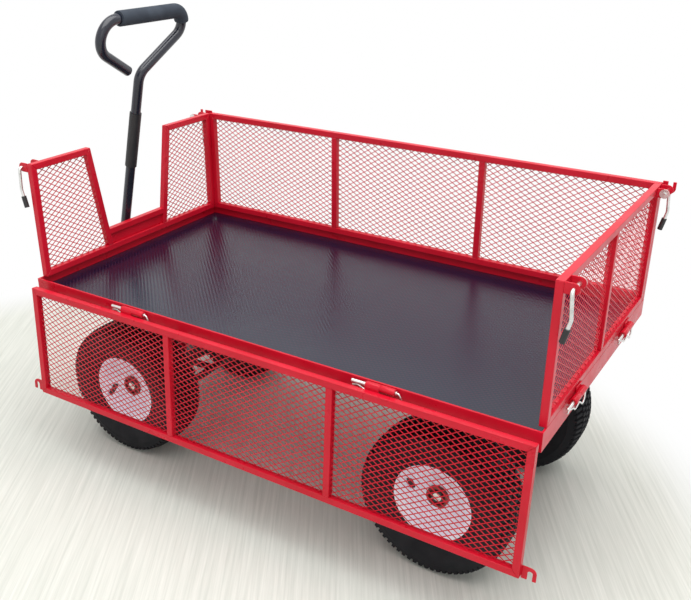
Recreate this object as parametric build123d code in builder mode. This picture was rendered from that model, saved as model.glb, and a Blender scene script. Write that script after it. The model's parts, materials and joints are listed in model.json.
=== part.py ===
from build123d import *
from math import atan2, cos, degrees, radians, sin, sqrt
import os

# Garden trolley with drop-down mesh sides. Millimetres, +X to the handle, +Y left, +Z up, ground at zero.

# Datum: where the deck's centre stands, so that the origin lies under the middle of the whole trolley
DECK_X = -42
DECK_Y = -15

# Deck frame of angle steel, with a board lying in it
FRAME_LENGTH = 1240
FRAME_WIDTH = 652
FRAME_TOP = 446
ANGLE_HEIGHT = 40
ANGLE_LEG = 40
ANGLE_WALL = 4
BOARD_THICKNESS = 15
BOARD_CLEARANCE = 1
CROSS_WIDTH = 40
CROSS_DEPTH = 30
CROSS_INSET = 4

# Mesh panels of square tube
TUBE = 15
PANEL_HEIGHT = 272
END_CLEARANCE = 1
SIDE_FRONT_INSET = 12
POST_SHARE = 3
STRAND_WIDTH = 2.4
STRAND_THICKNESS = 1.4
STRAND_GAP = 0.4
DIAMOND_LONG = 33
DIAMOND_SHORT = 21
MESH_INSET = 6
STRAND_BITE = 3

# Front panel's opening for the handle
NOTCH_TOP = 266
NOTCH_SILL = 198
SILL_HEIGHT = 57
SILL_SHEET = 3

# Hinges: two barrels on one loose pin
BARREL_RADIUS = 7
BARREL_LENGTH = 31
BARREL_GAP = 0.5
BARREL_CLEARANCE = 0.5
HINGE_DROP = 6
HINGE_LEAF = 3
HINGE_LEAF_HEIGHT = 8
SIDE_HINGE_SPREAD = 620
REAR_HINGE_SPREAD = 320
PIN_RADIUS = 3.5
PIN_CLEARANCE = 0.3
PIN_TAIL = 32
PIN_BEND = 12
PIN_DROP = 38
FOLDED_LEAN = 3

# Corner latches: a rod in two ears with a hanging lever, and a hook plate on each side panel's end
EAR_THICKNESS = 3
EAR_RADIUS = 10.5
EAR_SPACING = 31.5
BOLT_REACH = 16
BOLT_DROP = 10
BOLT_RADIUS = 3.5
BOLT_CLEARANCE = 0.3
BOLT_TAIL = 41
WASHER_RADIUS = 10
WASHER_THICKNESS = 2
LEVER_OUT = 7.5
LEVER_BEND = 7
LEVER_KNEE = 50
LEVER_KNEE_RADIUS = 25
LEVER_LEAN = 4
LEVER_END = 66
CAP_RADIUS = 5.5
CAP_LENGTH = 26
HOOK_THICKNESS = 3
HOOK_INSET = 0.5
HOOK_SLOT = 10
HOOK_LEG = 7
HOOK_RISE = 14

# Wheels
TYRE_RADIUS = 165
TYRE_WIDTH = 125
TREAD_WIDTH = 100
TREAD_FLAT = 64
TREAD_DEPTH = 6
SHOULDER_DROP = 13
LUG_COUNT = 48
LUG_GAP = 8
LUG_GROOVE = 5
LUG_CENTRE = 30
BEAD_RADIUS = 78
BEAD_WIDTH = 84
RIM_WALL = 3
FLANGE_RADIUS = 89
DISH_DEPTH = 30
DISH_FLAT_RADIUS = 38
SLOT_LENGTH = 30
SLOT_WIDTH = 12
SLOT_PLACE = 59
SLOT_TURN = 42
HUB_RADIUS = 24
HUB_LENGTH = 52
HUB_PROUD = 7
HUB_WALL = 5
HUB_RECESS = 10
HUB_CLEARANCE = 0.4
AXLE_RADIUS = 10
AXLE_PLAY = 0.3
COLLAR_RADIUS = 16
NUT_RADIUS = 15
NUT_THICKNESS = 8
WHEEL_Y = 218
FRONT_AXLE_INSET = 177
REAR_AXLE_INSET = 227

# Axle beams and the brackets that hang them under the deck
BEAM = 40
BRACKET_Y = 60
BRACKET_THICKNESS = 8
BRACKET_TOP = 130
BRACKET_FOOT = 44

# Steering: equal arms on a centre swivel and on both knuckles, joined by one track link
KINGPIN_Y = 125
SWIVEL_OVERHANG = 18
ARM = 60
SLEEVE_RADIUS = 17
SLEEVE_HEIGHT = 50
KINGPIN_RADIUS = 8
KINGPIN_PLAY = 0.3
YOKE_PLATE = 8
YOKE_GAP = 1
YOKE_RADIUS = 24
YOKE_REACH = 22
ARM_WIDTH = 26
LINK_PIN_RADIUS = 6
LINK_EYE_RADIUS = 13
LINK_DEPTH = 12
LINK_GAP = 1
LINK_BAR_WIDTH = 14
PIN_HEAD = 5
PIN_HEAD_RADIUS = 13

# Handle: a tube with an open loop, leaning back over the front sill
HANDLE_LEAN = 13.84
PIVOT_REACH = 70.6
PIVOT_Z = 250
HANDLE_RADIUS = 12
HANDLE_HEEL = 14
SHAFT_LENGTH = 645
LOOP_TOP = 786
LOOP_RIGHT = 205
LOOP_LEFT = 250
LOOP_RIGHT_RADIUS = 33
LOOP_LEFT_RADIUS = 45
LOOP_NECK_RADIUS = 40
LOOP_END_DROP = 128
LOOP_END_Y = 40
GRIP_RADIUS = 17.5
GRIP_FROM = -94
GRIP_TO = 84
SLEEVE_FROM = 404
SLEEVE_TO = 546
HANDLE_SLEEVE_RADIUS = 14.5
FIT_CLEARANCE = 0.15
EAR_PLATE = 6
EAR_GAP = 2.5
EAR_NOSE = 24
EAR_TOP = 48
PIVOT_BOLT_RADIUS = 6
PIVOT_PLAY = 0.3
STOP_RADIUS = 5
STOP_RISE = 36

os.makedirs("parts", exist_ok=True)

# Sizes worked out from those above
HALF_LENGTH = FRAME_LENGTH / 2
HALF_WIDTH = FRAME_WIDTH / 2
FRAME_BOTTOM = FRAME_TOP - ANGLE_HEIGHT
CROSS_BOTTOM = FRAME_BOTTOM - CROSS_DEPTH
HINGE_OUT = BARREL_RADIUS + BARREL_CLEARANCE
HINGE_Z = FRAME_TOP - HINGE_DROP
END_WIDTH = FRAME_WIDTH - 2 * (TUBE + END_CLEARANCE)
END_HALF = END_WIDTH / 2
SIDE_LENGTH = FRAME_LENGTH - SIDE_FRONT_INSET
BOLT_UP = HINGE_DROP + PANEL_HEIGHT - BOLT_DROP
BOLT_OUT = BOLT_REACH - HINGE_OUT
EAR_INSETS = (EAR_THICKNESS / 2, EAR_THICKNESS / 2 + EAR_SPACING)
LEVER_PLACE = END_HALF + LEVER_OUT
HOOK_OUTER = HOOK_SLOT / 2 + HOOK_LEG
FRONT_AXLE_X = HALF_LENGTH - FRONT_AXLE_INSET
REAR_AXLE_X = REAR_AXLE_INSET - HALF_LENGTH
SWIVEL_X = HALF_LENGTH + SWIVEL_OVERHANG
PIVOT_X = SWIVEL_X + PIVOT_REACH
AXLE_Z = TYRE_RADIUS
BEAM_TOP = AXLE_Z + BEAM / 2
SLEEVE_TOP = AXLE_Z + SLEEVE_HEIGHT / 2
SLEEVE_BOTTOM = AXLE_Z - SLEEVE_HEIGHT / 2
YOKE_TOP = SLEEVE_TOP + YOKE_GAP + YOKE_PLATE
YOKE_BOTTOM = SLEEVE_BOTTOM - YOKE_GAP - YOKE_PLATE
LINK_TOP = YOKE_BOTTOM - LINK_GAP
LINK_BOTTOM = LINK_TOP - LINK_DEPTH
RIM_OUTER_Y = WHEEL_Y + BEAD_WIDTH / 2
HUB_OUTER_Y = RIM_OUTER_Y - DISH_DEPTH + HUB_PROUD
HUB_INNER_Y = HUB_OUTER_Y - HUB_LENGTH
NUT_Y = HUB_OUTER_Y - HUB_RECESS + 2 * AXLE_PLAY
AXLE_END_Y = NUT_Y + NUT_THICKNESS


def level(height):
    """Horizontal plane through the deck's centre line at this height."""
    return Plane(origin=(DECK_X, DECK_Y, height), x_dir=(1, 0, 0), z_dir=(0, 0, 1))


def profile(y):
    """Upright plane along the trolley, y to the left of its centre, facing right."""
    return Plane(origin=(DECK_X, DECK_Y + y, 0), x_dir=(1, 0, 0), z_dir=(0, -1, 0))


def section(x):
    """Upright plane across the trolley, x ahead of the deck's centre, facing forward."""
    return Plane(origin=(DECK_X + x, DECK_Y, 0), x_dir=(0, 1, 0), z_dir=(1, 0, 0))


def hinged(outward, fold):
    """Plane of a panel on its hinge line: x along the hinge, y up the panel, z outward when raised."""
    reach = (HALF_LENGTH if outward[0] else HALF_WIDTH) + HINGE_OUT
    out = Vector(*outward)
    up = Vector(0, 0, 1)
    turn = radians(fold)
    panel_up = up * cos(turn) + out * sin(turn)
    panel_out = out * cos(turn) - up * sin(turn)
    corner = Vector(DECK_X, DECK_Y, HINGE_Z) + out * reach
    return Plane(origin=corner, x_dir=panel_up.cross(panel_out), z_dir=panel_out)


def shifted(plane, x, y, z):
    """The same plane moved within its own directions."""
    origin = plane.origin + plane.x_dir * x + plane.y_dir * y + plane.z_dir * z
    return Plane(origin=origin, x_dir=plane.x_dir, z_dir=plane.z_dir)


def strands(plane, outline):
    """Two layers of slanting strands that fill an outline, sunk into the tubes around it."""
    slope = degrees(atan2(DIAMOND_SHORT, DIAMOND_LONG))
    pitch = DIAMOND_SHORT * cos(radians(slope))
    box = outline.bounding_box()
    span = sqrt(box.size.X ** 2 + box.size.Y ** 2)
    centre = box.center()
    layer = STRAND_THICKNESS + STRAND_GAP
    for place, angle in ((0, slope), (layer, -slope)):
        with BuildSketch(shifted(plane, 0, 0, place)) as layer_sketch:
            with Locations(Location((centre.X, centre.Y, 0), (0, 0, angle))):
                with GridLocations(0, pitch, 1, 2 * int(span / pitch / 2) + 1):
                    Rectangle(span, STRAND_WIDTH)
            add(outline, mode=Mode.INTERSECT)
        extrude(layer_sketch.sketch, amount=STRAND_THICKNESS)


def tube_frame(plane, width, height, posts):
    """A rectangle of square tube with upright posts between, and its mesh near the outer face."""
    with BuildSketch(shifted(plane, 0, height / 2, 0)) as tubes:
        Rectangle(width, height)
        Rectangle(width - 2 * TUBE, height - 2 * TUBE, mode=Mode.SUBTRACT)
        with Locations(*[(x, 0) for x in posts]):
            Rectangle(TUBE, height)
    extrude(tubes.sketch, amount=-TUBE)
    mesh_plane = shifted(plane, 0, height / 2, -MESH_INSET - 2 * STRAND_THICKNESS - STRAND_GAP)
    bite = 2 * (TUBE - STRAND_BITE)
    with BuildSketch(mode=Mode.PRIVATE) as infill:
        Rectangle(width - bite, height - bite)
    strands(mesh_plane, infill.sketch)


def barrel(plane, place, side):
    """One hinge barrel beside the middle of a hinge, open for its pin."""
    start = place + side * BARREL_GAP / 2
    face = Plane(origin=shifted(plane, start, 0, 0).origin, x_dir=plane.y_dir, z_dir=plane.x_dir * side)
    with BuildSketch(face) as ring:
        Circle(BARREL_RADIUS)
        Circle(PIN_RADIUS + PIN_CLEARANCE, mode=Mode.SUBTRACT)
    extrude(ring.sketch, amount=BARREL_LENGTH)


def hinge_leaf(plane, place, side, low, high):
    """Small plate that ties a barrel to the flat face beside it."""
    middle = place + side * (BARREL_GAP + BARREL_LENGTH) / 2
    with BuildSketch(shifted(plane, middle, (low + high) / 2, -HINGE_OUT)) as leaf:
        Rectangle(BARREL_LENGTH, high - low)
    extrude(leaf.sketch, amount=HINGE_LEAF)


def latch_ears(plane):
    """Pairs of drilled ears at both upper corners of an end panel."""
    for side in (-1, 1):
        for inset in EAR_INSETS:
            centre = shifted(plane, side * (END_HALF - inset), BOLT_UP, -HINGE_OUT)
            upright = Plane(origin=centre.origin, x_dir=plane.z_dir, z_dir=plane.x_dir)
            with BuildSketch(upright) as ear:
                with Locations((BOLT_REACH / 2, 0)):
                    Rectangle(BOLT_REACH, 2 * EAR_RADIUS)
                with Locations((BOLT_REACH, 0)):
                    Circle(EAR_RADIUS)
                    Circle(BOLT_RADIUS + BOLT_CLEARANCE, mode=Mode.SUBTRACT)
            extrude(ear.sketch, amount=EAR_THICKNESS / 2, both=True)


PANEL_RIGHT = hinged((0, -1, 0), 0)
PANEL_LEFT = hinged((0, 1, 0), 180 - FOLDED_LEAN)
RAIL_LEFT = hinged((0, 1, 0), 0)
PANEL_REAR = hinged((-1, 0, 0), 0)
PANEL_FRONT = hinged((1, 0, 0), 0)

# Deck frame: a ring of angle steel, its legs inward, with the fixed half of every hinge
with BuildPart() as deck_frame:
    with BuildSketch(level(FRAME_BOTTOM)):
        Rectangle(FRAME_LENGTH, FRAME_WIDTH)
        Rectangle(FRAME_LENGTH - 2 * ANGLE_LEG, FRAME_WIDTH - 2 * ANGLE_LEG, mode=Mode.SUBTRACT)
    extrude(amount=ANGLE_WALL)
    with BuildSketch(level(FRAME_BOTTOM)):
        Rectangle(FRAME_LENGTH, FRAME_WIDTH)
        Rectangle(FRAME_LENGTH - 2 * ANGLE_WALL, FRAME_WIDTH - 2 * ANGLE_WALL, mode=Mode.SUBTRACT)
    extrude(amount=ANGLE_HEIGHT)
    for plane, spread, side in (
        (PANEL_RIGHT, SIDE_HINGE_SPREAD, -1),
        (RAIL_LEFT, SIDE_HINGE_SPREAD, 1),
        (PANEL_REAR, REAR_HINGE_SPREAD, -1),
    ):
        for place in (-spread / 2, spread / 2):
            barrel(plane, place, side)
            hinge_leaf(plane, place, side, -BARREL_RADIUS, 0)
deck_frame.part.label = "deck_frame"
export_step(deck_frame.part, "parts/deck_frame.step")

# Deck board
with BuildPart() as deck_board:
    with BuildSketch(level(FRAME_BOTTOM + ANGLE_WALL)):
        edge = 2 * (ANGLE_WALL + BOARD_CLEARANCE)
        Rectangle(FRAME_LENGTH - edge, FRAME_WIDTH - edge)
    extrude(amount=BOARD_THICKNESS)
deck_board.part.label = "deck_board"
export_step(deck_board.part, "parts/deck_board.step")

# Cross members under the deck, over each axle and at the middle
with BuildPart() as cross_members:
    with BuildSketch(level(CROSS_BOTTOM)):
        with Locations((FRONT_AXLE_X, 0), (0, 0), (REAR_AXLE_X, 0)):
            Rectangle(CROSS_WIDTH, FRAME_WIDTH - 2 * CROSS_INSET)
    extrude(amount=CROSS_DEPTH)
cross_members.part.label = "cross_members"
export_step(cross_members.part, "parts/cross_members.step")

# Side panels: the left one folded down, the right one raised
SIDE_POSTS = [-SIDE_LENGTH / POST_SHARE / 2, SIDE_LENGTH / POST_SHARE / 2]
for name, plane, side in (("side_left_panel", PANEL_LEFT, -1), ("side_right_panel", PANEL_RIGHT, 1)):
    with BuildPart() as side_panel:
        middle = shifted(plane, -side * SIDE_FRONT_INSET / 2, HINGE_DROP, -HINGE_OUT)
        tube_frame(middle, SIDE_LENGTH, PANEL_HEIGHT, SIDE_POSTS)
        for place in (-SIDE_HINGE_SPREAD / 2, SIDE_HINGE_SPREAD / 2):
            barrel(plane, place, side)
            hinge_leaf(plane, place, side, 0, HINGE_DROP + HINGE_LEAF_HEIGHT)
    side_panel.part.label = name
    export_step(side_panel.part, f"parts/{name}.step")

# Hook plates on both ends of each side panel, their slots open upward when the panel is raised
for name, plane, front in (("side_left_hooks", PANEL_LEFT, -1), ("side_right_hooks", PANEL_RIGHT, 1)):
    with BuildPart() as hooks:
        for end in (-1, 1):
            reach = BOLT_REACH + (SIDE_FRONT_INSET if end == front else 0)
            seat = shifted(plane, end * (HALF_LENGTH + BOLT_REACH), BOLT_UP, -HINGE_OUT - HOOK_INSET)
            with BuildSketch(seat):
                Circle(HOOK_OUTER)
                with Locations((-end * reach / 2, -HOOK_OUTER / 2)):
                    Rectangle(reach, HOOK_OUTER)
                with Locations((end * (HOOK_OUTER - reach) / 2, HOOK_RISE / 2)):
                    Rectangle(HOOK_OUTER + reach, HOOK_RISE)
                Circle(HOOK_SLOT / 2, mode=Mode.SUBTRACT)
                with Locations((0, HOOK_RISE / 2)):
                    Rectangle(HOOK_SLOT, HOOK_RISE, mode=Mode.SUBTRACT)
            extrude(amount=-HOOK_THICKNESS)
    hooks.part.label = name
    export_step(hooks.part, f"parts/{name}.step")

# Rear panel, with its hinge barrels and latch ears
with BuildPart() as rear_panel:
    tube_frame(shifted(PANEL_REAR, 0, HINGE_DROP, -HINGE_OUT), END_WIDTH, PANEL_HEIGHT, [0])
    for place in (-REAR_HINGE_SPREAD / 2, REAR_HINGE_SPREAD / 2):
        barrel(PANEL_REAR, place, 1)
        hinge_leaf(PANEL_REAR, place, 1, 0, HINGE_DROP + HINGE_LEAF_HEIGHT)
    latch_ears(PANEL_REAR)
rear_panel.part.label = "rear_panel"
export_step(rear_panel.part, "parts/rear_panel.step")

# Front panel: two mesh wings beside an opening for the handle, over a low sill
with BuildPart() as front_panel:
    face = shifted(PANEL_FRONT, 0, HINGE_DROP, -HINGE_OUT)
    rise = PANEL_HEIGHT - SILL_HEIGHT
    flare = (NOTCH_TOP - NOTCH_SILL) / 2 / rise
    foot = NOTCH_SILL / 2 - flare * SILL_HEIGHT
    slant = TUBE * sqrt(1 + flare ** 2)
    with BuildSketch(face):
        with Locations((0, PANEL_HEIGHT / 2)):
            Rectangle(END_WIDTH, PANEL_HEIGHT)
        for side in (-1, 1):
            with BuildLine():
                Polyline(
                    (side * (END_HALF - TUBE), TUBE),
                    (side * (END_HALF - TUBE), PANEL_HEIGHT - TUBE),
                    (side * (foot + slant + flare * (PANEL_HEIGHT - TUBE)), PANEL_HEIGHT - TUBE),
                    (side * (foot + slant + flare * TUBE), TUBE),
                    close=True,
                )
            make_face(mode=Mode.SUBTRACT)
        with BuildLine():
            Polyline(
                (-NOTCH_SILL / 2, SILL_HEIGHT),
                (NOTCH_SILL / 2, SILL_HEIGHT),
                (NOTCH_TOP / 2, PANEL_HEIGHT),
                (-NOTCH_TOP / 2, PANEL_HEIGHT),
                close=True,
            )
        make_face(mode=Mode.SUBTRACT)
        with Locations((0, SILL_HEIGHT / 2)):
            Rectangle(NOTCH_SILL, SILL_HEIGHT - 2 * TUBE, mode=Mode.SUBTRACT)
    extrude(amount=-TUBE)
    with BuildSketch(shifted(face, 0, SILL_HEIGHT / 2, -TUBE / 2)):
        Rectangle(NOTCH_SILL, SILL_HEIGHT - 2 * TUBE)
    extrude(amount=SILL_SHEET / 2, both=True)
    mesh_plane = shifted(face, 0, 0, -MESH_INSET - 2 * STRAND_THICKNESS - STRAND_GAP)
    inner = TUBE - STRAND_BITE
    for side in (-1, 1):
        with BuildSketch(mode=Mode.PRIVATE) as wing:
            with BuildLine():
                Polyline(
                    (side * (END_HALF - inner), inner),
                    (side * (END_HALF - inner), PANEL_HEIGHT - inner),
                    (side * (foot + inner + flare * PANEL_HEIGHT), PANEL_HEIGHT - inner),
                    (side * (foot + inner), inner),
                    close=True,
                )
            make_face()
        strands(mesh_plane, wing.sketch)
    latch_ears(PANEL_FRONT)
front_panel.part.label = "front_panel"
export_step(front_panel.part, "parts/front_panel.step")

# Latch rods with their washers and hanging levers, and the caps on the levers
for end, plane in (("front", PANEL_FRONT), ("rear", PANEL_REAR)):
    with BuildPart() as bolts:
        for side in (-1, 1):
            tail = shifted(plane, side * (END_HALF - BOLT_TAIL), BOLT_UP, BOLT_OUT)
            corner = shifted(plane, side * LEVER_PLACE, BOLT_UP, BOLT_OUT)
            knee = shifted(corner, 0, -LEVER_KNEE, LEVER_LEAN)
            foot = shifted(corner, 0, -LEVER_END, 0)
            with BuildLine() as lever:
                bends = [LEVER_BEND, LEVER_KNEE_RADIUS]
                FilletPolyline(tail.origin, corner.origin, knee.origin, foot.origin, radius=bends)
            with BuildSketch(Plane(origin=tail.origin, x_dir=plane.y_dir, z_dir=plane.x_dir * side)):
                Circle(BOLT_RADIUS)
            sweep(path=lever.line)
            inner_ear = END_HALF - EAR_INSETS[1] - EAR_THICKNESS / 2
            seat = shifted(plane, side * (inner_ear - BOLT_CLEARANCE), BOLT_UP, BOLT_OUT)
            with BuildSketch(Plane(origin=seat.origin, x_dir=plane.y_dir, z_dir=plane.x_dir * -side)):
                Circle(WASHER_RADIUS)
            extrude(amount=WASHER_THICKNESS)
    bolts.part.label = f"{end}_latch_bolts"
    export_step(bolts.part, f"parts/{end}_latch_bolts.step")
    with BuildPart() as caps:
        for side in (-1, 1):
            corner = shifted(plane, side * LEVER_PLACE, BOLT_UP, BOLT_OUT)
            knee = shifted(corner, 0, -LEVER_KNEE, LEVER_LEAN)
            foot = shifted(corner, 0, -LEVER_END, 0)
            with BuildSketch(Plane(origin=foot.origin, x_dir=plane.x_dir, z_dir=foot.origin - knee.origin)):
                Circle(CAP_RADIUS)
            extrude(amount=CAP_LENGTH)
    caps.part.label = f"{end}_latch_caps"
    export_step(caps.part, f"parts/{end}_latch_caps.step")

# Hinge pins, bent down at one end
with BuildPart() as hinge_pins:
    for plane, spread, side in (
        (PANEL_RIGHT, SIDE_HINGE_SPREAD, 1),
        (RAIL_LEFT, SIDE_HINGE_SPREAD, -1),
        (PANEL_REAR, REAR_HINGE_SPREAD, 1),
    ):
        for place in (-spread / 2, spread / 2):
            half = BARREL_LENGTH + BARREL_GAP / 2
            run = 2 * half + PIN_TAIL + PIN_BEND
            flat = shifted(plane, place + side * (half + PIN_TAIL), 0, 0)
            with BuildLine(flat) as pin:
                FilletPolyline((0, 0), (-side * run, 0), (-side * run, -PIN_DROP), radius=PIN_BEND)
            with BuildSketch(Plane(origin=flat.origin, x_dir=plane.y_dir, z_dir=plane.x_dir * -side)):
                Circle(PIN_RADIUS)
            sweep(path=pin.line)
hinge_pins.part.label = "hinge_pins"
export_step(hinge_pins.part, "parts/hinge_pins.step")

# Rear axle: a square beam with a stub and end nut at each side
with BuildPart() as rear_axle:
    with BuildSketch(profile(0)):
        with Locations((REAR_AXLE_X, AXLE_Z)):
            Rectangle(BEAM, BEAM)
    extrude(amount=HUB_INNER_Y - 2 * AXLE_PLAY, both=True)
    with BuildSketch(profile(0)):
        with Locations((REAR_AXLE_X, AXLE_Z)):
            Circle(AXLE_RADIUS)
    extrude(amount=AXLE_END_Y, both=True)
    for side in (-1, 1):
        with BuildSketch(profile(side * NUT_Y)):
            with Locations((REAR_AXLE_X, AXLE_Z)):
                RegularPolygon(NUT_RADIUS, 6)
        extrude(amount=-side * NUT_THICKNESS)
rear_axle.part.label = "rear_axle"
export_step(rear_axle.part, "parts/rear_axle.step")

# Front axle: a square beam that ends in a sleeve for each kingpin, and a tongue to the centre swivel
with BuildPart() as front_axle:
    with BuildSketch(profile(0)):
        with Locations((FRONT_AXLE_X, AXLE_Z)):
            Rectangle(BEAM, BEAM)
    extrude(amount=KINGPIN_Y, both=True)
    with BuildSketch(section(FRONT_AXLE_X)):
        with Locations((0, AXLE_Z)):
            Rectangle(BEAM, BEAM)
    extrude(amount=SWIVEL_X - FRONT_AXLE_X)
    pivots = [(FRONT_AXLE_X, -KINGPIN_Y), (FRONT_AXLE_X, KINGPIN_Y), (SWIVEL_X, 0)]
    with BuildSketch(level(SLEEVE_BOTTOM)):
        for x, y in pivots:
            with Locations((x, y)):
                Circle(SLEEVE_RADIUS)
    extrude(amount=SLEEVE_HEIGHT)
    with BuildSketch(level(SLEEVE_BOTTOM)):
        with Locations((FRONT_AXLE_X, -KINGPIN_Y - BEAM / 2), (FRONT_AXLE_X, KINGPIN_Y + BEAM / 2)):
            Rectangle(BEAM, BEAM)
        with Locations(*[(x, y) for x, y in pivots]):
            Circle(SLEEVE_RADIUS, mode=Mode.SUBTRACT)
    extrude(amount=SLEEVE_HEIGHT, mode=Mode.SUBTRACT)
    with BuildSketch(level(SLEEVE_BOTTOM)):
        with Locations(*[(x, y) for x, y in pivots]):
            Circle(KINGPIN_RADIUS + KINGPIN_PLAY)
    extrude(amount=SLEEVE_HEIGHT, mode=Mode.SUBTRACT)
front_axle.part.label = "front_axle"
export_step(front_axle.part, "parts/front_axle.step")

# Brackets between the axle beams and the cross members: tapered plates, two for each axle
for name, x in (("front_axle_brackets", FRONT_AXLE_X), ("rear_axle_brackets", REAR_AXLE_X)):
    with BuildPart() as brackets:
        for side in (-1, 1):
            with BuildSketch(profile(side * BRACKET_Y)):
                with BuildLine():
                    Polyline(
                        (x - BRACKET_FOOT / 2, BEAM_TOP),
                        (x + BRACKET_FOOT / 2, BEAM_TOP),
                        (x + BRACKET_TOP / 2, CROSS_BOTTOM),
                        (x - BRACKET_TOP / 2, CROSS_BOTTOM),
                        close=True,
                    )
                make_face()
            extrude(amount=BRACKET_THICKNESS / 2, both=True)
    brackets.part.label = name
    export_step(brackets.part, f"parts/{name}.step")

# Knuckles: a yoke around the sleeve, a stub axle and a steering arm
for name, side in (("left", 1), ("right", -1)):
    with BuildPart() as knuckle:
        for low, high in ((YOKE_BOTTOM, YOKE_BOTTOM + YOKE_PLATE), (YOKE_TOP - YOKE_PLATE, YOKE_TOP)):
            with BuildSketch(level(low)):
                with Locations((FRONT_AXLE_X, side * KINGPIN_Y)):
                    Circle(YOKE_RADIUS)
                with Locations((FRONT_AXLE_X, side * (KINGPIN_Y + YOKE_REACH / 2 + YOKE_PLATE / 2))):
                    Rectangle(2 * YOKE_RADIUS, YOKE_REACH + YOKE_PLATE)
            extrude(amount=high - low)
        with BuildSketch(level(YOKE_BOTTOM)):
            with Locations((FRONT_AXLE_X, side * (KINGPIN_Y + YOKE_REACH + YOKE_PLATE / 2))):
                Rectangle(2 * YOKE_RADIUS, YOKE_PLATE)
        extrude(amount=YOKE_TOP - YOKE_BOTTOM)
        with BuildSketch(level(YOKE_BOTTOM)):
            with Locations((FRONT_AXLE_X - ARM / 2, side * KINGPIN_Y)):
                Rectangle(ARM, ARM_WIDTH)
            with Locations((FRONT_AXLE_X - ARM, side * KINGPIN_Y)):
                Circle(ARM_WIDTH / 2)
        extrude(amount=YOKE_PLATE)
        with BuildSketch(level(YOKE_BOTTOM)):
            with Locations((FRONT_AXLE_X, side * KINGPIN_Y)):
                Circle(KINGPIN_RADIUS)
        extrude(amount=YOKE_TOP + PIN_HEAD - YOKE_BOTTOM)
        with BuildSketch(level(YOKE_TOP)):
            with Locations((FRONT_AXLE_X, side * KINGPIN_Y)):
                Circle(PIN_HEAD_RADIUS)
        extrude(amount=PIN_HEAD)
        with BuildSketch(level(LINK_BOTTOM - PIN_HEAD)):
            with Locations((FRONT_AXLE_X - ARM, side * KINGPIN_Y)):
                Circle(LINK_PIN_RADIUS)
        extrude(amount=YOKE_BOTTOM - LINK_BOTTOM + PIN_HEAD)
        with BuildSketch(profile(side * (KINGPIN_Y + YOKE_REACH))):
            with Locations((FRONT_AXLE_X, AXLE_Z)):
                Circle(AXLE_RADIUS)
        extrude(amount=-side * (AXLE_END_Y - KINGPIN_Y - YOKE_REACH))
        with BuildSketch(profile(side * (KINGPIN_Y + YOKE_REACH))):
            with Locations((FRONT_AXLE_X, AXLE_Z)):
                Circle(COLLAR_RADIUS)
        extrude(amount=-side * (HUB_INNER_Y - 2 * AXLE_PLAY - KINGPIN_Y - YOKE_REACH))
        with BuildSketch(profile(side * NUT_Y)):
            with Locations((FRONT_AXLE_X, AXLE_Z)):
                RegularPolygon(NUT_RADIUS, 6)
        extrude(amount=-side * NUT_THICKNESS)
    knuckle.part.label = f"knuckle_{name}"
    export_step(knuckle.part, f"parts/knuckle_{name}.step")

# Track link: a bar between the knuckles' arms and a stem to the swivel's arm
with BuildPart() as track_link:
    bar_x = FRONT_AXLE_X - ARM
    stem_x = SWIVEL_X - ARM
    eyes = [(bar_x, -KINGPIN_Y), (bar_x, KINGPIN_Y), (stem_x, 0)]
    with BuildSketch(level(LINK_BOTTOM)):
        with Locations((bar_x, 0)):
            Rectangle(LINK_BAR_WIDTH, 2 * KINGPIN_Y)
        with Locations(((bar_x + stem_x) / 2, 0)):
            Rectangle(stem_x - bar_x, LINK_BAR_WIDTH)
        with Locations(*eyes):
            Circle(LINK_EYE_RADIUS)
        with Locations(*eyes):
            Circle(LINK_PIN_RADIUS + KINGPIN_PLAY, mode=Mode.SUBTRACT)
    extrude(amount=LINK_DEPTH)
track_link.part.label = "track_link"
export_step(track_link.part, "parts/track_link.step")

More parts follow.
